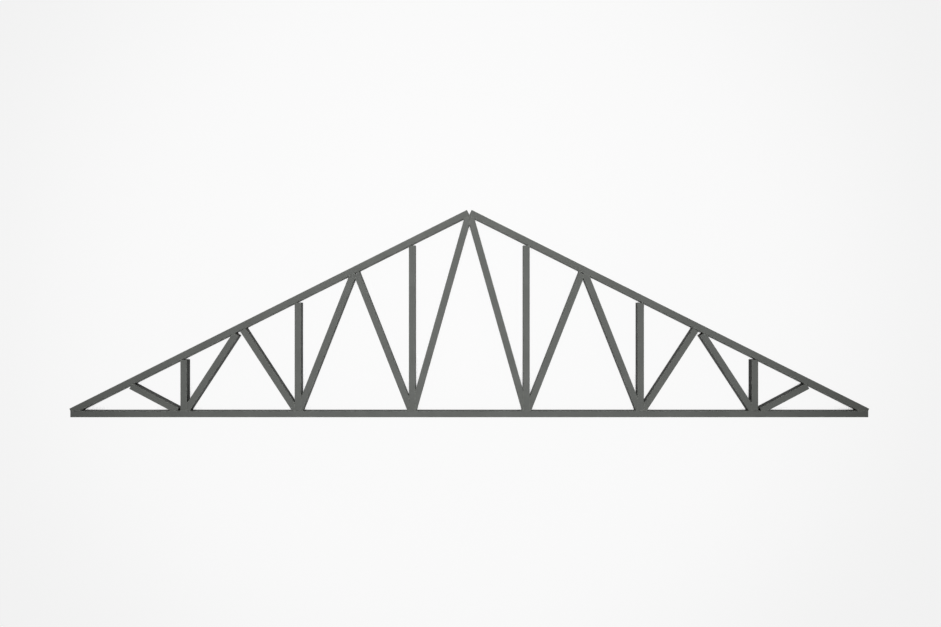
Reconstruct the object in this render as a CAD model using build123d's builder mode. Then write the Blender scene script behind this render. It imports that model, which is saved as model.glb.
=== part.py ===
"""Welded steel roof truss of square tube, lying flat on its back face.

X runs along the span, Y from the bottom chord to the ridge and Z up through the thickness. The
origin is on the floor under the middle of the outline. The truss is the same on both sides of
the plane X = 0, and its front and back faces are the same.
"""

import os
from math import atan2, cos, sin

from build123d import *

# Setting out, measured between the axes of the tubes
span = 12000.0
panel_count = 7
roof_slope = 0.5
heel_rise = 25.0

# Tube sections: one outside size, so that every face lies flush, a wall for the chords and one
# for the web, and the outside corner radius for each unit of wall
tube_size = 100.0
chord_wall = 5.0
web_wall = 4.0
corner_factor = 1.5

# How far the bottom chord stops short of the span at each end, and how wide the two
# top chords stand open at the ridge, between their upper corners
chord_inset = 15.0
ridge_gap = 72.0

# How far the axes of the posts and of some diagonals, numbered from the heel, are sawn off short
# of the roof slope. The others end on it, and a minus runs past it.
post_setback = 12.0
diagonal_setback = {1: 12.0, 2: 30.0, 3: 5.0, 4: -16.0}

# Worked-out sizes and places. The left half is drawn and the right half is its mirror image.
mid_depth = tube_size / 2
half_panel = span / panel_count / 2
bottom_half_length = span / 2 - chord_inset
roof_angle = atan2(roof_slope, 1)
along_roof = Vector(cos(roof_angle), sin(roof_angle), 0)
out_of_roof = Vector(-sin(roof_angle), cos(roof_angle), 0)
ridge_setback = ridge_gap / 2 / cos(roof_angle) - tube_size / 2 * roof_slope
axis_rise = heel_rise + roof_slope * span / 2
ridge_corner_rise = axis_rise + (out_of_roof * (tube_size / 2) - along_roof * ridge_setback).Y
overall_height = tube_size / 2 + ridge_corner_rise
chord_axis_y = tube_size / 2 - overall_height / 2
ridge_node = Vector(0, chord_axis_y + axis_rise, mid_depth)

# The faces that other tubes are cut to fit, each looking away from the steel behind it
left_of_middle = Plane(origin=(0, 0, mid_depth), x_dir=(0, 0, 1), z_dir=(-1, 0, 0))
bottom_chord_top = Plane(
    origin=(0, chord_axis_y + tube_size / 2, mid_depth),
    x_dir=(0, 0, 1),
    z_dir=(0, 1, 0),
)
roof_underside = Plane(
    origin=ridge_node - out_of_roof * (tube_size / 2),
    x_dir=(0, 0, 1),
    z_dir=-out_of_roof,
)


def bottom_node(number):
    """Place on the bottom chord's axis, that many half panels left of the middle."""
    return Vector(-number * half_panel, chord_axis_y, mid_depth)


def top_node(number):
    """Place on the left top chord's axis, that many half panels left of the middle."""
    return ridge_node - along_roof * (number * half_panel / cos(roof_angle))


def distance_to_face(start, direction, face):
    """Distance from a point to a face, measured along a direction."""
    return (face.origin - start).dot(face.z_dir) / direction.dot(face.z_dir)


def make_tube(start, direction, length, wall, cut_faces):
    """Square tube sawn square at both ends, then trimmed to the faces it lands on."""
    section_plane = Plane(origin=start, x_dir=(0, 0, 1), z_dir=direction)
    corner_radius = corner_factor * wall
    bore = tube_size - 2 * wall
    with BuildPart() as tube:
        with BuildSketch(section_plane):
            RectangleRounded(tube_size, tube_size, corner_radius)
            RectangleRounded(bore, bore, corner_radius - wall, mode=Mode.SUBTRACT)
        extrude(amount=length)
        for face in cut_faces:
            split(bisect_by=face, keep=Keep.TOP)
    return tube


def make_bottom_chord():
    """One straight tube, the whole length of the truss."""
    start = Vector(-bottom_half_length, chord_axis_y, mid_depth)
    return make_tube(start, Vector(1, 0, 0), 2 * bottom_half_length, chord_wall, [])


def make_top_chord():
    """Left top chord. Its heel is sawn through the bottom chord's end corner and let down onto
    the chord, and its ridge end meets the other chord at the bottom of an open V."""
    heel_corner = bottom_chord_top.origin - Vector(bottom_half_length, 0, 0)
    heel_reach = (ridge_node - heel_corner).dot(along_roof)
    start = ridge_node - along_roof * heel_reach
    length = heel_reach - ridge_setback
    return make_tube(start, along_roof, length, chord_wall, [bottom_chord_top, left_of_middle])


def make_post(number):
    """Tube square to the bottom chord, sawn square just short of where its axis meets the roof
    slope, with the low side coped."""
    foot = bottom_node(number) + Vector(0, tube_size / 2, 0)
    up = Vector(0, 1, 0)
    length = distance_to_face(foot, up, roof_underside) - post_setback
    return make_tube(foot, up, length, web_wall, [roof_underside])


def post_side(number, towards):
    """Side face of a post, on the side that the direction points to."""
    outward = Vector(1 if towards.X > 0 else -1, 0, 0)
    return Plane(bottom_node(number) + outward * (tube_size / 2), x_dir=(0, 0, 1), z_dir=outward)


def web_direction(bottom, top):
    """Direction of the diagonal from a bottom node up to a top node."""
    return (top_node(top) - bottom_node(bottom)).normalized()


def tip_distance(bottom, top):
    """Distance up a diagonal's axis to where it is sawn off, on the roof slope or near it."""
    from_heel = panel_count - max(bottom, top)
    to_roof = distance_to_face(bottom_node(bottom), web_direction(bottom, top), roof_underside)
    return to_roof - diagonal_setback.get(from_heel, 0)


def neighbour_side(bottom, top):
    """Upper side of the diagonal that leans to the ridge, as a face to mitre against."""
    lean = web_direction(bottom, top)
    outward = Vector(lean.Y, -lean.X, 0)
    return Plane(bottom_node(bottom) + outward * (tube_size / 2), x_dir=(0, 0, 1), z_dir=outward)


def overlaps_neighbour(bottom, top):
    """Whether the sawn corner of the diagonal leaning to the ridge would run into this one."""
    neighbour = bottom + 2
    lean = web_direction(neighbour, top)
    outward = Vector(lean.Y, -lean.X, 0)
    corner = bottom_node(neighbour) + lean * tip_distance(neighbour, top) + outward * (tube_size / 2)
    direction = web_direction(bottom, top)
    across = Vector(-direction.Y, direction.X, 0)
    return (corner - bottom_node(bottom)).dot(across) < tube_size / 2


def make_diagonal(bottom, top):
    """Sloping tube between two nodes. Its tip is sawn square at the roof slope, with the side
    that would enter the chord coped, and is mitred to a neighbour that it would run into. Its
    foot fills the corner of post and bottom chord, or is sawn square too where it lands on the
    chord clear of the post."""
    node = bottom_node(bottom)
    direction = web_direction(bottom, top)
    beside_post = post_side(bottom, direction)
    to_chord = distance_to_face(node, direction, bottom_chord_top)
    to_post = distance_to_face(node, direction, beside_post)
    foot = to_chord if to_chord > to_post else -tube_size
    tip = tip_distance(bottom, top)
    faces = [bottom_chord_top, beside_post, roof_underside]
    if top == 0:
        faces.append(left_of_middle)
    if bottom < top < panel_count - 1 and overlaps_neighbour(bottom, top):
        neighbour = neighbour_side(bottom + 2, top)
        faces.append(neighbour)
        up_neighbour = web_direction(bottom + 2, top)
        mitre_reach = distance_to_face(neighbour.origin, up_neighbour, roof_underside)
        tip = (neighbour.origin + up_neighbour * mitre_reach - node).dot(direction)
    return make_tube(node + direction * foot, direction, tip - foot, web_wall, faces)


def mirrored(left):
    """The same piece on the right half of the truss."""
    with BuildPart() as right:
        mirror(left.part, about=Plane.YZ)
    return right


# Left half, counted from the heel to the ridge
left_pieces = {"top_chord": make_top_chord()}
for order, number in enumerate(range(panel_count - 2, 0, -2)):
    left_pieces[f"post_{order + 1}"] = make_post(number)
    left_pieces[f"diagonal_{2 * order + 1}"] = make_diagonal(number, number + 1)
    left_pieces[f"diagonal_{2 * order + 2}"] = make_diagonal(number, number - 1)

pieces = {"bottom_chord": make_bottom_chord()}
for name, piece in left_pieces.items():
    pieces[f"{name}_left"] = piece
    pieces[f"{name}_right"] = mirrored(piece)

os.makedirs("parts", exist_ok=True)
for name, piece in pieces.items():
    piece.part.label = name
    export_step(piece.part, f"parts/{name}.step")
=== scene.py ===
from itertools import combinations, product

import bpy
import numpy as np
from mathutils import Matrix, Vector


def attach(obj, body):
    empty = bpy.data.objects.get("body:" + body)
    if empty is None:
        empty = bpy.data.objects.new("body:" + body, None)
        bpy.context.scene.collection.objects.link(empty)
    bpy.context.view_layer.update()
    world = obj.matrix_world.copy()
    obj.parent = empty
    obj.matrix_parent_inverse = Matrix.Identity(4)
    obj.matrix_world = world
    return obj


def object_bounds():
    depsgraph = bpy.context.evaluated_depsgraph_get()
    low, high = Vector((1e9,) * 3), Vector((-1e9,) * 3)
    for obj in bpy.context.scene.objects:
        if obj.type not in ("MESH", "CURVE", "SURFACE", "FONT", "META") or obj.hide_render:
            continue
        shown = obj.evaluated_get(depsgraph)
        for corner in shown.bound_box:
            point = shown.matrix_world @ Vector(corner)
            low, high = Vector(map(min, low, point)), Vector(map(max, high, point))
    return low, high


# The truss and the view of it

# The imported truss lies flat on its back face: X along the span, Y from the bottom chord to the
# ridge, Z up out of the front face. The view is the photograph's, square on to the front face
# from 8.43 m, level with the middle of the truss, so here it looks straight down.
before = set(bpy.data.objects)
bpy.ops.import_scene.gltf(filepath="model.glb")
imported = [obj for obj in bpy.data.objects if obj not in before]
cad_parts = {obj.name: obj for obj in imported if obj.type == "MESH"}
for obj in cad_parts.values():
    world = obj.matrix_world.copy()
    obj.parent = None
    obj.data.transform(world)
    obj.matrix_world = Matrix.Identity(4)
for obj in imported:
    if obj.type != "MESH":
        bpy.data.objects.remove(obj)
cad_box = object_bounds()

front_face = 0.1  # height of the front face above the floor, in metres
view_distance = 8.43  # from there up to the camera
view_from = (0.018, 0.001, front_face + view_distance)
pixel_on_face = 0.015  # one pixel of the 941 x 627 frame on the front face, in metres
frame_width = 941  # pixels
sensor_width = 36.0  # millimetres

camera = bpy.data.objects.new("camera", bpy.data.cameras.new("camera"))
bpy.context.scene.collection.objects.link(camera)
camera.location = view_from
camera.data.sensor_width = sensor_width
camera.data.lens = sensor_width * view_distance / (frame_width * pixel_on_face)
camera.data.clip_end = 500.0
bpy.context.scene.camera = camera
bpy.context.scene.view_settings.view_transform = "Standard"


# Floor and light

# A plain pale floor, matt and nearly white, that the truss lies on. It sends only a little
# light back up, so that the sides of the tubes stay dark, as in the photograph.
def linear(hex_colour):
    """sRGB hex colour turned to linear light: up to 0.04045 it is divided by 12.92, above that
    (c + 0.055) / 1.055 is raised to the power 2.4."""
    c = np.array([int(hex_colour[i : i + 2], 16) / 255 for i in (1, 3, 5)])
    c = np.where(c <= 0.04045, c / 12.92, ((c + 0.055) / 1.055) ** 2.4)
    return (*c, 1.0)


def add_node(tree, kind, inputs=(), **settings):
    """Adds a node, sets its settings, and sets or links each of its inputs."""
    made = tree.nodes.new(kind)
    for setting, value in settings.items():
        setattr(made, setting, value)
    for socket, value in dict(inputs).items():
        if isinstance(value, bpy.types.NodeSocket):
            tree.links.new(value, made.inputs[socket])
        else:
            made.inputs[socket].default_value = value
    return made


floor_half_size = 150.0  # metres
floor_height = -0.0005  # just under the truss, so that no two faces lie in one plane
floor_pale = linear("#FBFBFB")
floor_return = linear("#4C4C4C")
floor_glow = 0.9  # share of the floor's white that is its own, which keeps its far parts pale


def seen_rays(tree):
    """1 for the rays of the camera, of gloss and of glass, and 0 for all others."""
    ray = add_node(tree, "ShaderNodeLightPath")
    seen = ray.outputs["Is Camera Ray"]
    for other in ("Is Glossy Ray", "Is Transmission Ray"):
        seen = add_node(
            tree, "ShaderNodeMath", {0: seen, 1: ray.outputs[other]}, operation="MAXIMUM"
        ).outputs[0]
    return seen


floor_mesh = bpy.data.meshes.new("floor")
corners = floor_half_size * np.array([(-1, -1), (1, -1), (1, 1), (-1, 1)])
floor_mesh.from_pydata([(x, y, floor_height) for x, y in corners], [], [(0, 1, 2, 3)])
floor = bpy.data.objects.new("floor", floor_mesh)
bpy.context.scene.collection.objects.link(floor)

floor_paint = bpy.data.materials.new("matt_pale_floor")
floor_paint.use_nodes = True
tree = floor_paint.node_tree
shader = tree.nodes["Principled BSDF"]
shader.inputs["Roughness"].default_value = 1.0
shader.inputs["Specular IOR Level"].default_value = 0.0
seen = seen_rays(tree)
mix = add_node(
    tree, "ShaderNodeMix", {"Factor": seen, "A": floor_return, "B": floor_pale}, data_type="RGBA"
)
tree.links.new(mix.outputs["Result"], shader.inputs["Base Color"])
glow = add_node(tree, "ShaderNodeEmission", {"Color": floor_pale, "Strength": 1.0})
# the glow stops where a hole between tubes is too narrow for the light to reach its bottom
narrow_hole = 0.15
open_sky = add_node(tree, "ShaderNodeAmbientOcclusion", {"Distance": narrow_hole}, samples=4)
open_glow = add_node(
    tree,
    "ShaderNodeMapRange",
    {"Value": open_sky.outputs["AO"], "From Min": 0.05, "From Max": 0.2, "To Max": floor_glow},
)
share = add_node(
    tree, "ShaderNodeMath", {0: seen, 1: open_glow.outputs["Result"]}, operation="MULTIPLY"
)
blend = add_node(
    tree,
    "ShaderNodeMixShader",
    {0: share.outputs[0], 1: shader.outputs["BSDF"], 2: glow.outputs["Emission"]},
)
tree.links.new(blend.outputs["Shader"], tree.nodes["Material Output"].inputs["Surface"])
floor_mesh.materials.append(floor_paint)

# Surroundings as pale as the far floor for what the camera and the gloss see, so that no horizon
# shows, and an even fill for the rest
fill_level = 0.15
far_level = 0.88
world = bpy.data.worlds.new("white_room")
bpy.context.scene.world = world
world.use_nodes = True
tree = world.node_tree
level = add_node(
    tree,
    "ShaderNodeMapRange",
    {"Value": seen_rays(tree), "To Min": fill_level, "To Max": far_level},
)
tree.nodes["Background"].inputs["Color"].default_value = (1, 1, 1, 1)
tree.links.new(level.outputs["Result"], tree.nodes["Background"].inputs["Strength"])

# Two soft boxes overhead with honeycomb fronts, which let the light out only downwards, so that
# the front faces are lit and the sides of the tubes stay dark. The wide one covers the whole
# truss and the small one adds a little in the middle, towards the ridge.
for name, place, size, spread, watts in (
    ("wide_soft_box", (-0.2, 0.4, 9.6), 13.4, 34.0, 298.0),
    ("small_soft_box", (-0.3, 1.2, 9.4), 4.0, 60.0, 26.0),
):
    lamp = bpy.data.objects.new(name, bpy.data.lights.new(name, "AREA"))
    bpy.context.scene.collection.objects.link(lamp)
    lamp.location = place
    lamp.data.shape = "DISK"
    lamp.data.size = size
    lamp.data.spread = np.radians(spread)
    lamp.data.energy = watts
    lamp.visible_camera = False

# Bottom chord

# One straight length of cold-formed square steel tube, 100 mm wide with a 5 mm wall, sawn
# square. It is sprayed with one low-sheen dark grey coat, like everything welded to it.
span = 12.0
panel_count = 7
tube_half = 0.05
chord_wall = 0.005
half_panel = span / panel_count / 2
chord_axis_y = tube_half - (cad_box[1][1] - cad_box[0][1]) / 2
paint_grey = linear("#646663")
paint_grey_thin = linear("#60625F")
paint_grey_edge = linear("#6A6C67")
mill_scale = linear("#4A4947")
mill_scale_brown = linear("#4B4038")


def painted_steel(name, on_axis, turn, wall):
    """Low-sheen enamel sprayed over cold-formed steel tube. The spray leaves a fine orange peel and
    faint clouds of thicker and thinner paint, and it is thinnest, so a little paler, on the rounded
    corners. The drawing lines, the slight waves of the rolled flats and the tube's own scarfed seam
    show through it. The bore keeps its unpainted mill scale, faintly brown in patches. on_axis is a
    point on the tube's axis and turn the axis's direction in the XY plane, in radians."""
    material = bpy.data.materials.new(name)
    material.use_nodes = True
    tree = material.node_tree
    shader = tree.nodes["Principled BSDF"]
    shader.inputs["Specular IOR Level"].default_value = 0.1

    # place in the tube's own directions: X along it, Y across and Z through it, from its axis
    place = add_node(tree, "ShaderNodeTexCoord")
    own = add_node(
        tree,
        "ShaderNodeMapping",
        {
            "Vector": place.outputs["Object"],
            "Location": (on_axis[0], on_axis[1], tube_half),
            "Rotation": (0.0, 0.0, turn),
        },
        vector_type="TEXTURE",
    ).outputs["Vector"]
    line_gap = 0.002
    line_length = 0.7
    drawn_out = add_node(
        tree, "ShaderNodeMapping", {"Vector": own, "Scale": (line_gap / line_length, 1.0, 1.0)}
    ).outputs["Vector"]

    pattern = {}
    for kind, vector, size, detail, roughness in (
        ("clouds", own, 0.35, 5.0, 0.55),  # thicker and thinner paint, 350 mm
        ("mottle", own, 0.012, 3.0, 0.6),  # overlapping spray, 12 mm
        ("peel", own, 0.003, 2.0, 0.4),  # orange peel, 3 mm
        ("waves", own, 0.15, 1.0, 0.5),  # waves in the rolled flats, 150 mm
        ("lines", drawn_out, line_gap, 2.0, 0.5),  # drawing lines 2 mm apart, 700 mm long
    ):
        pattern[kind] = add_node(
            tree,
            "ShaderNodeTexNoise",
            {"Vector": vector, "Scale": 1 / size, "Detail": detail, "Roughness": roughness},
        ).outputs["Fac"]
    clouds, mottle = pattern["clouds"], pattern["mottle"]

    # distance from the axis on either side, whose lesser part is great only on the corners and
    # whose greater part is small only in the bore
    signed = add_node(tree, "ShaderNodeSeparateXYZ", {"Vector": own})
    folded = add_node(tree, "ShaderNodeVectorMath", {0: own}, operation="ABSOLUTE")
    apart = add_node(tree, "ShaderNodeSeparateXYZ", {"Vector": folded.outputs["Vector"]})
    across, through = apart.outputs["Y"], apart.outputs["Z"]
    lesser = add_node(tree, "ShaderNodeMath", {0: across, 1: through}, operation="MINIMUM")
    greater = add_node(tree, "ShaderNodeMath", {0: across, 1: through}, operation="MAXIMUM")
    bore_edge = tube_half - wall + 0.0004  # a hair into the wall, to take in the bore's own face
    in_bore = add_node(
        tree, "ShaderNodeMath", {0: greater.outputs[0], 1: bore_edge}, operation="LESS_THAN"
    ).outputs[0]
    worn = add_node(
        tree,
        "ShaderNodeMapRange",
        {"Value": mottle, "From Min": 0.35, "From Max": 0.65, "To Min": 0.35, "To Max": 0.75},
    ).outputs["Result"]
    corner_begins = 0.0405
    corner_full = 0.0475
    corner = add_node(
        tree,
        "ShaderNodeMapRange",
        {
            "Value": lesser.outputs[0],
            "From Min": corner_begins,
            "From Max": corner_full,
            "To Max": worn,
        },
        interpolation_type="SMOOTHSTEP",
    ).outputs["Result"]

    # the seam is scarfed to a band 8 mm wide with soft edges, down the middle of one side
    side_face = 0.0006 - tube_half
    seam_flat = 0.0032
    seam_edge = 0.0052
    seam_side = add_node(
        tree, "ShaderNodeMath", {0: signed.outputs["Y"], 1: side_face}, operation="LESS_THAN"
    ).outputs[0]
    seam = add_node(
        tree,
        "ShaderNodeMapRange",
        {
            "Value": through,
            "From Min": seam_flat,
            "From Max": seam_edge,
            "To Min": seam_side,
            "To Max": 0.0,
        },
        interpolation_type="SMOOTHSTEP",
    ).outputs["Result"]

    # thickness of the paint, which sets its colour and its gloss
    mottle_share = 0.35
    roughness_thin = 0.6
    roughness_thick = 0.48
    thickness = add_node(tree, "ShaderNodeMix", {"Factor": mottle_share, "A": clouds, "B": mottle})
    thickness = add_node(
        tree,
        "ShaderNodeMapRange",
        {"Value": thickness.outputs["Result"], "From Min": 0.35, "From Max": 0.65},
        interpolation_type="SMOOTHSTEP",
    ).outputs["Result"]
    gloss = add_node(
        tree,
        "ShaderNodeMapRange",
        {"Value": thickness, "To Min": roughness_thin, "To Max": roughness_thick},
    ).outputs["Result"]
    brown = add_node(
        tree,
        "ShaderNodeMapRange",
        {"Value": clouds, "From Min": 0.42, "From Max": 0.62},
        interpolation_type="SMOOTHSTEP",
    ).outputs["Result"]
    paint_colour = add_node(
        tree,
        "ShaderNodeMix",
        {"Factor": thickness, "A": paint_grey_thin, "B": paint_grey},
        data_type="RGBA",
    )
    edged = add_node(
        tree,
        "ShaderNodeMix",
        {"Factor": corner, "A": paint_colour.outputs["Result"], "B": paint_grey_edge},
        data_type="RGBA",
    )
    scale_colour = add_node(
        tree,
        "ShaderNodeMix",
        {"Factor": brown, "A": mill_scale, "B": mill_scale_brown},
        data_type="RGBA",
    )
    colour = add_node(
        tree,
        "ShaderNodeMix",
        {"Factor": in_bore, "A": edged.outputs["Result"], "B": scale_colour.outputs["Result"]},
        data_type="RGBA",
    )

    relief = {}
    for height, depth in (
        (pattern["waves"], 0.00015),
        (seam, 0.00006),
        (pattern["lines"], 0.00002),
        (pattern["peel"], 0.00006),
    ):
        inputs = {"Height": height, "Distance": depth, "Strength": 1.0, **relief}
        relief = {"Normal": add_node(tree, "ShaderNodeBump", inputs).outputs["Normal"]}

    tree.links.new(colour.outputs["Result"], shader.inputs["Base Color"])
    tree.links.new(gloss, shader.inputs["Roughness"])
    tree.links.new(relief["Normal"], shader.inputs["Normal"])
    return material


def paint(node_name, on_axis, turn, wall):
    """Gives a packed tube its finish, in a material of its own named after the tube."""
    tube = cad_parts[node_name]
    tube.data.materials.clear()
    tube.data.materials.append(painted_steel(f"enamel_on_{node_name}", on_axis, turn, wall))


def bottom_node(number):
    """Point on the bottom chord's axis, that many half panels left of the middle."""
    return np.array([-number * half_panel, chord_axis_y])


paint("bottom_chord", bottom_node(0), 0.0, chord_wall)

# Top chords

# The two rafters proper, of the same tube as the bottom chord, rising 1 in 2. Their heels sit on
# the bottom chord and their sawn upper ends stand open in a V at the ridge.
roof_slope = 0.5
roof_angle = np.arctan(roof_slope)
heel_rise = 0.025  # of the chord's axis over the bottom chord's, at the end of the span
axis_rise = heel_rise + roof_slope * span / 2
sides = (("left", 1), ("right", -1))  # the pieces on the right are the left ones mirrored


def top_node(number):
    """Point on the left top chord's axis, that many half panels left of the middle."""
    y = chord_axis_y + axis_rise - roof_slope * number * half_panel
    return np.array([-number * half_panel, y])


for side, mirror in sides:
    paint(f"top_chord_{side}", top_node(0), mirror * roof_angle, chord_wall)

# Posts

# Three upright tubes each side, 100 mm wide with a 4 mm wall, sawn square at the top so that one
# corner of the end stays open under the slope. Each stands on a bottom node, counted in half
# panels from the middle.
web_wall = 0.004
post_nodes = {1: 5, 2: 3, 3: 1}
post_setback = 0.012

for side, mirror in sides:
    for number, node in post_nodes.items():
        paint(f"post_{number}_{side}", bottom_node(mirror * node), np.pi / 2, web_wall)

# Diagonals

# Six sloping tubes each side, of the same tube as the posts, that zigzag between the chords. Each
# joins two nodes, counted in half panels from the middle.
diagonal_ends = {1: (5, 6), 2: (5, 4), 3: (3, 4), 4: (3, 2), 5: (1, 2), 6: (1, 0)}
diagonal_setback = {1: 0.012, 2: 0.030, 3: 0.005, 4: -0.016}  # short of the roof slope, on the axis

for side, mirror in sides:
    for number, (low, high) in diagonal_ends.items():
        reach = (top_node(high) - bottom_node(low)) * (mirror, 1)
        turn = np.arctan2(reach[1], reach[0])
        paint(f"diagonal_{number}_{side}", bottom_node(mirror * low), turn, web_wall)

# Welds

# Arc welds of steel wire along every seam, painted with the tubes. On the front and back faces
# they fill the groove beside the through tube's rounded corner and are ground flush. In the
# corners between the tubes' sides they are left as laid, as rippled fillets.
chord_radius = 0.0075
web_radius = 0.006
chord_inset = 0.015  # how far the bottom chord stops short of the span at each end
ridge_gap = 0.072  # how wide the top chords stand open, between their upper corners
rounding = 1e-7  # distance that counts as none in a cut outline
parallel = 0.9999  # least cosine between two directions that count as one
area_rounding = 1e-6  # cross product that counts as none, for a point on an edge


def left_of(direction):
    """Direction a quarter turn anticlockwise from the one given."""
    return np.array([-direction[1], direction[0]])


def unit(vector):
    """The vector divided by its length."""
    return vector / np.linalg.norm(vector)


def cut(outline, point, outward):
    """The part of a convex outline on the far side of a line: corners behind the line go, and the
    two edges that cross it end on it. outward looks away from what is cut off."""
    ahead = (outline - point) @ outward
    kept = []
    for i in range(len(outline)):
        a, b, a_ahead, b_ahead = outline[i - 1], outline[i], ahead[i - 1], ahead[i]
        if (a_ahead < -rounding) != (b_ahead < -rounding):
            kept.append(a + (b - a) * a_ahead / (a_ahead - b_ahead))
        if b_ahead >= -rounding:
            kept.append(b)
    return np.array(kept)


def tube_outline(start, direction, length):
    """Outline of a tube seen from the front: a rectangle about its axis, anticlockwise."""
    side = tube_half * left_of(direction)
    end = start + direction * length
    return np.array([start - side, end - side, end + side, start + side])


def line_distance(start, direction, point, normal):
    """Distance from start to a line, along direction."""
    return ((point - start) @ normal) / (direction @ normal)


# the outline of each tube and the direction of its axis: those of the left half, cut as the
# tubes are sawn, and then their mirror images
rightwards = np.array([1.0, 0.0])
up = np.array([0.0, 1.0])
roof_along = np.array([np.cos(roof_angle), np.sin(roof_angle)])
roof_out = left_of(roof_along)
roof_point = top_node(0) - roof_out * tube_half
middle_point = np.zeros(2)
chord_top_y = chord_axis_y + tube_half
chord_point = np.array([0.0, chord_top_y])
outlines = {}
axes = {}

bottom_half = span / 2 - chord_inset
chord_start = np.array([-bottom_half, chord_axis_y])
outlines["bottom_chord"] = tube_outline(chord_start, rightwards, 2 * bottom_half)
axes["bottom_chord"] = rightwards

heel = np.array([-bottom_half, chord_top_y])
heel_reach = (top_node(0) - heel) @ roof_along
ridge_setback = ridge_gap / 2 / roof_along[0] - tube_half * roof_slope
rafter = tube_outline(top_node(0) - roof_along * heel_reach, roof_along, heel_reach - ridge_setback)
rafter = cut(rafter, chord_point, up)
outlines["top_chord_left"] = cut(rafter, middle_point, -rightwards)
axes["top_chord_left"] = roof_along

for number, node in post_nodes.items():
    foot = bottom_node(node) + up * tube_half
    height = line_distance(foot, up, roof_point, roof_out) - post_setback
    outlines[f"post_{number}_left"] = cut(tube_outline(foot, up, height), roof_point, -roof_out)
    axes[f"post_{number}_left"] = up

for number, (low, high) in diagonal_ends.items():
    base = bottom_node(low)
    lean = unit(top_node(high) - base)
    beside = np.array([np.sign(lean[0]), 0.0])
    to_chord = line_distance(base, lean, chord_point, up)
    to_post = line_distance(base, lean, base + beside * tube_half, beside)
    foot = to_chord if to_chord > to_post else -2 * tube_half
    tip = line_distance(base, lean, roof_point, roof_out) - diagonal_setback.get(number, 0.0)
    faces = [(chord_point, up), (base + beside * tube_half, beside), (roof_point, -roof_out)]
    if number == 6:
        # meets its mirror image in the middle
        faces.append((middle_point, -rightwards))
    if number == 5:
        # mitred to the fourth, and its weld fills the last 2.3 mm to the chord
        weld_reach = 0.003
        fourth = unit(top_node(2) - bottom_node(3))
        mitre_side = -left_of(fourth)
        mitre = bottom_node(3) + mitre_side * tube_half
        mitre_point = mitre + fourth * line_distance(mitre, fourth, roof_point, roof_out)
        tip = (mitre_point - base) @ lean + weld_reach
        faces.append((mitre, mitre_side))
    shape = tube_outline(base + lean * foot, lean, tip - foot)
    for point, outward in faces:
        shape = cut(shape, point, outward)
    outlines[f"diagonal_{number}_left"] = shape
    axes[f"diagonal_{number}_left"] = lean

for name in [name for name in outlines if name.endswith("_left")]:
    mirrored = name.replace("_left", "_right")
    outlines[mirrored] = (outlines[name] * (-1, 1))[::-1]
    axes[mirrored] = axes[name] * (-1, 1)


def edges_of(name):
    """Start, end, unit direction of each edge of an outline, and whether it is a side of the tube
    rather than a cut end. Edges shorter than 0.1 mm are left out."""
    shape = outlines[name]
    rows = []
    for start, end in zip(shape, np.roll(shape, -1, axis=0)):
        length = np.linalg.norm(end - start)
        if length > 1e-4:
            direction = (end - start) / length
            rows.append((start, end, direction, abs(direction @ axes[name]) > parallel))
    return rows


def inside(point, name):
    """Whether a point lies within a convex, anticlockwise outline or on its edge: the cross product
    of each edge and the way from its start to the point isn't negative."""
    shape = outlines[name]
    step = np.roll(shape, -1, axis=0) - shape
    to = point - shape
    crossed = step[:, 0] * to[:, 1] - step[:, 1] * to[:, 0]
    return bool((crossed > -area_rounding).all())


def carry(sections):
    """Closed surface through a row of closed sections: sections[i, j] is point j of section i, the
    sections are joined in order, and a fan closes each end. Its volume is a sixth of the sum of
    a . (b x c) over its triangles a, b, c, and where that is negative the faces point inwards and
    are turned round."""
    rings, points = sections.shape[:2]
    start, end = sections[0].mean(0), sections[-1].mean(0)
    verts = np.vstack([sections.reshape(-1, 3), start, end])
    i = np.repeat(np.arange(rings - 1), points) * points
    j = np.tile(np.arange(points), rings - 1)
    k = (j + 1) % points
    quads = np.column_stack([i + j, i + k, i + points + k, i + points + j])
    j = np.arange(points)
    k = (j + 1) % points
    first = rings * points
    last = (rings - 1) * points
    caps = np.vstack(
        [
            np.column_stack([np.full(points, first), k, j]),
            np.column_stack([np.full(points, first + 1), last + j, last + k]),
        ]
    )
    corners = (verts - verts.mean(0))[np.vstack([quads[:, :3], quads[:, [0, 2, 3]], caps])]
    if np.sum(corners[:, 0] * np.cross(corners[:, 1], corners[:, 2])) < 0:
        quads, caps = quads[:, ::-1], caps[:, ::-1]
    return verts, quads, caps


cut_lap = 0.002  # how far a seam runs onto a cut end, which has no rounded corner
near_lap = 0.0015  # how far a seam runs past the near tube's rounded corner
far_lap = 0.0025  # and past the far tube's
ground_crown = 0.0004
toe_dip = 0.00015  # how far a seam's edges go into the steel
back_gap = 0.00005  # ground just below the face that the truss lies on
seam_step = 0.006  # mean distance between two sections of a seam
fewest_sections = 8
open_run = 0.003  # how far a seam runs over an open sawn corner
open_radius = 0.004  # radius that it goes down with there


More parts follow.
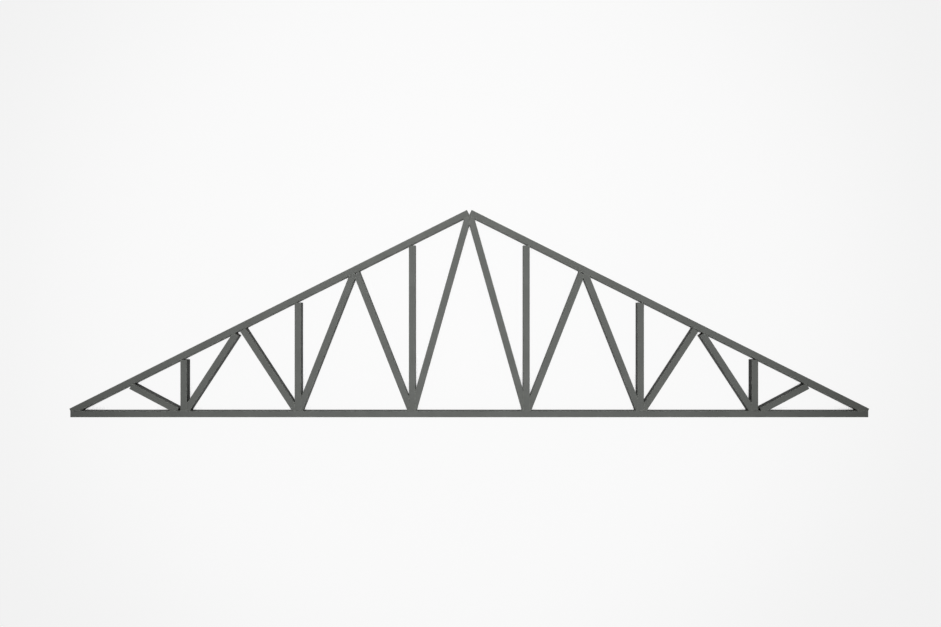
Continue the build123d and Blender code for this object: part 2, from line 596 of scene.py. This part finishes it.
def ground_seam(start, end, across, near_radius, far_radius, kinds, top):
    """Weld ground flush on one face. Its section is a flat arch over the groove, from just past the
    near tube's rounded corner to just past the far one's: for v from 0 to 1 across it the crown
    times sin(pi v) to the power 0.6, less the dip times cos(pi v) to the power 8. At an end that
    has a fillet it goes down with the tube's own rounded corner, and at an open end in a small
    round. across looks from the near tube to the far one."""
    length = np.linalg.norm(end - start)
    direction = (end - start) / length
    first = -open_run if kinds[0] == "open" else 0.0
    last = length + (open_run if kinds[1] == "open" else 0.0)
    count = max(fewest_sections, int((last - first) / seam_step))
    at = first + (last - first) * (1 - np.cos(np.linspace(0, np.pi, count))) / 2
    drop = np.zeros(count)
    for kind, distance in ((kinds[0], at - first), (kinds[1], last - at)):
        if kind != "plain":
            radius, rate = (open_radius, 1.0) if kind == "open" else (web_radius, kind)
            gap = np.clip(radius - distance * rate, 0, radius)
            drop += radius - np.sqrt(radius**2 - gap**2)
    low, high = -near_radius - near_lap, far_radius + far_lap
    v = np.linspace(0, 1, 9)
    arch_n = low + (high - low) * v
    arch_z = ground_crown * np.sin(np.pi * v) ** 0.6 - toe_dip * np.cos(np.pi * v) ** 8
    # the underside, hidden in the groove, from the far edge to its bottom and the near edge
    under_n, under_z = np.transpose(
        [
            (high - 0.001, -0.0025),
            (0.6 * far_radius, -0.0035),
            (0.0, -max(near_radius, 0.004)),
            (-0.6 * near_radius, -0.75 * near_radius - 0.001),
            (low + 0.001, -0.002),
        ]
    )
    n = np.concatenate([arch_n, under_n])
    z = np.concatenate([arch_z, under_z])
    if not top:
        z = np.minimum(z, -back_gap)
    sections = np.zeros((count, len(n), 3))
    flat = start + direction * at[:, None]
    sections[..., :2] = flat[:, None, :] + across * n[None, :, None]
    level = z[None, :] - drop[:, None]
    sections[..., 2] = 2 * tube_half + level if top else -level
    return carry(sections)


fillet_face = 0.007
shortest_leg = 0.004
longest_leg = 0.016
leg_wander = 0.06  # share by which the legs vary along the fillet
fillet_low = 0.003  # height of its lower end
fillet_high = 0.097  # height of its upper end
taper_length = 0.004  # over which each end draws in
taper_share = 0.55  # of the legs, left at the very ends
ripple_pitch = 0.003
ripple_height = 0.00035
ripple_steps = 5  # sections for each ripple
ripple_rise = 0.8  # share of each ripple in which it rises
ripple_bend = 0.35  # how far the ripples are bent, in ripples


def fillet(corner, near, far, seed):
    """Weld left as laid in the corner between two sides. Each leg is half the face's width divided
    by the sine of half the opening. The face is a shallow arch between the legs' ends, a quadratic
    curve whose middle point is the sum of the legs times the bow: 0.5, which alone is flat, and
    0.13 times that sine. Ripples run along it as a saw, bent back at the edges and flat there, and
    the ends draw in as a quarter circle does."""
    opening = np.arccos(np.clip(near @ far, -1, 1))
    leg = np.clip(fillet_face / (2 * np.sin(opening / 2)), shortest_leg, longest_leg)
    rings = int((fillet_high - fillet_low) / (ripple_pitch / ripple_steps)) + 1
    z = np.linspace(fillet_low, fillet_high, rings)
    v = np.linspace(0, 1, 8)
    bow = 0.5 + 0.13 * np.sin(opening / 2)
    rng = np.random.default_rng(seed)
    drawn = rng.uniform(-leg_wander, leg_wander, 12)
    wander = np.interp(z, np.linspace(0, 2 * tube_half, 12), drawn)
    bend = ripple_bend * np.sin(np.pi * v)[None, :]
    phase = z[:, None] / ripple_pitch + bend + rng.uniform(0, 1)
    saw = phase % 1.0
    saw = np.where(saw < ripple_rise, saw / ripple_rise, (1 - saw) / (1 - ripple_rise))
    to_end = np.minimum(z - fillet_low, fillet_high - z)
    swell = np.sqrt(1 - np.clip(1 - to_end / taper_length, 0, 1) ** 2)
    size = leg * (1 + wander) * (taper_share + (1 - taper_share) * swell)
    near_leg = near[None, None, :] * size[:, None, None]
    far_leg = far[None, None, :] * size[:, None, None]
    w = v[None, :, None]
    face = (1 - w) ** 2 * near_leg + 2 * w * (1 - w) * (near_leg + far_leg) * bow + w**2 * far_leg
    bisector = unit(near + far)
    lift = ripple_height * (saw - 0.5) * np.sin(np.pi * v)[None, :] * swell[:, None]
    face = face + bisector * lift[..., None]
    # three more points, hidden in the steel behind the corner
    root = np.broadcast_to(-0.002 * bisector, (rings, 2))
    hidden = np.stack([0.6 * far_leg[:, 0] + root, root, 0.6 * near_leg[:, 0] + root], axis=1)
    section = np.concatenate([face, hidden], axis=1) + corner
    level = np.repeat(z[:, None], section.shape[1], axis=1)
    sections = np.concatenate([section, level[..., None]], axis=2)
    return carry(sections)


edges = {name: edges_of(name) for name in outlines}
contact_gap = 0.0005  # most that two edges in contact are apart
contact_length = 0.005  # least length of a seam
corner_gap = 1e-4  # most that an edge passes a seam's end by
edge_room = 0.004  # least length of an edge past a seam's end
probe_reach = 0.006  # how far into a corner another tube is looked for
widest_corner = 165  # degrees, past which there is no corner to fill


def contact(near_edge, far_edge):
    """Start and end of the stretch along which two edges touch, or None. They touch where they run
    opposite ways along one line."""
    near_start, near_end, near_way, _ = near_edge
    far_start, far_end, far_way, _ = far_edge
    if near_way @ far_way > -parallel:
        return None
    if abs((far_start - near_start) @ left_of(near_way)) > contact_gap:
        return None
    low = max(0.0, (far_end - near_start) @ near_way)
    high = min(np.linalg.norm(near_end - near_start), (far_start - near_start) @ near_way)
    if high - low < contact_length:
        return None
    return near_start + near_way * low, near_start + near_way * high


def way_on(name, here, outwards):
    """Direction in which an outline goes on from a seam's end, nearest to outwards, and whether it
    is then a side of the tube. None if it only goes back along the seam or isn't there."""
    best = None
    for start, end, direction, is_side in edges[name]:
        past_start = (here - start) @ direction
        past_end = past_start - np.linalg.norm(end - start)
        off_line = abs((here - start) @ left_of(direction))
        if max(off_line, -past_start, past_end) > corner_gap:
            continue
        for way, last in ((direction, end), (-direction, start)):
            if np.linalg.norm(last - here) > edge_room and way @ outwards > -parallel:
                if best is None or way @ outwards > best[0] @ outwards:
                    best = (way, is_side)
    return best


def seam_end(near_name, far_name, here, outwards, across):
    """How a seam ends, and the corner that a fillet goes into there or None. The end is plain where
    a third tube fills the corner or an outline stops, open at a sawn end, and at a fillet a number:
    how fast the seam draws away from the side that the fillet lies on."""
    near_on, far_on = way_on(near_name, here, outwards), way_on(far_name, here, outwards)
    if near_on is None or far_on is None:
        return "plain", None
    (near_way, near_is_side), (far_way, far_is_side) = near_on, far_on
    middle = near_way + far_way
    probe = here + probe_reach * middle / (np.linalg.norm(middle) + 1e-9)
    if any(inside(probe, name) for name in outlines if name not in (near_name, far_name)):
        return "plain", None
    opening = np.degrees(np.arccos(np.clip(near_way @ far_way, -1, 1)))
    if near_is_side and far_is_side and opening < widest_corner:
        steep = far_way if abs(near_way @ outwards) > abs(far_way @ outwards) else near_way
        return float(max(0.2, abs(steep @ across))), (here, near_way, far_way)
    return "open", None


def seam_reach(name, is_side):
    """How far a seam goes onto a tube: over its rounded corner, or a little onto a cut end."""
    if not is_side:
        return cut_lap
    return chord_radius if "chord" in name else web_radius


beads = {}
for near_name, far_name in combinations(outlines, 2):
    for near_edge, far_edge in product(edges[near_name], edges[far_name]):
        stretch = contact(near_edge, far_edge)
        if stretch is None:
            continue
        start, end = stretch
        way, near_is_side = near_edge[2:]
        across = -left_of(way)
        ends = [
            seam_end(near_name, far_name, here, outwards, across)
            for here, outwards in ((start, -way), (end, way))
        ]
        kinds = [kind for kind, corner in ends]
        reaches = seam_reach(near_name, near_is_side), seam_reach(far_name, far_edge[3])
        parts = beads.setdefault(far_name if near_is_side else near_name, [])
        for top in (True, False):
            parts.append(ground_seam(start, end, across, *reaches, kinds, top))
        filled = [corner for kind, corner in ends if corner is not None]
        for index, corner in enumerate(filled):
            parts.append(fillet(*corner, seed=len(parts) + 97 * index))


def ridge_filling(kite, top):
    """Weld that fills the hollow between the sawn ends of the last two diagonals and the chords. It
    is the hollow's outline, grown about its middle and then drawn in step by step to a low dome."""
    side_points = 6
    edge = np.arange(4 * side_points) / side_points
    rim = np.stack([np.interp(edge, np.arange(5), np.append(k, k[0])) for k in kite.T], axis=1)
    grow = np.array([0.9, 1.2, 1.15, 0.8, 0.3])
    height = np.array([-0.006, -0.0012, 0.0001, ground_crown, ground_crown])
    level = 2 * tube_half + height if top else np.maximum(-height, back_gap)
    middle = kite.mean(0)
    sections = np.zeros((len(grow), len(rim), 3))
    sections[..., :2] = middle + grow[:, None, None] * (rim - middle)
    sections[..., 2] = level[:, None]
    return carry(sections)


# the hollow's corners are the middles of the two sawn ends, the point below where the lines of
# those ends cross, and the point above where the top chords' undersides do
lean = axes["diagonal_6_left"]
sawn = bottom_node(1) + lean * line_distance(bottom_node(1), lean, roof_point, roof_out)
above = np.array([0.0, roof_point[1] - roof_slope * roof_point[0]])
below = np.array([0.0, sawn[1] + sawn[0] * lean[0] / lean[1]])
for top in (True, False):
    kite = np.array([sawn, below, sawn * (-1, 1), above])
    beads["diagonal_6_left"].append(ridge_filling(kite, top))

# an axis far off to one side, so that no weld metal counts as a bore
off_axis = (0.0, 10.0)
weld_paint = painted_steel("enamel_on_weld_metal", off_axis, 0.0, 0.0)
for owner, parts in beads.items():
    mesh = bpy.data.meshes.new(f"weld_{owner}")
    points, faces, shift = [], [], 0
    for verts, quads, caps in parts:
        points.append(verts)
        faces += (quads + shift).tolist() + (caps + shift).tolist()
        shift += len(verts)
    mesh.from_pydata(np.vstack(points).tolist(), [], faces)
    mesh.materials.append(weld_paint)
    mesh.shade_smooth()
    weld = bpy.data.objects.new(f"weld_{owner}", mesh)
    bpy.context.scene.collection.objects.link(weld)
    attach(weld, "root")
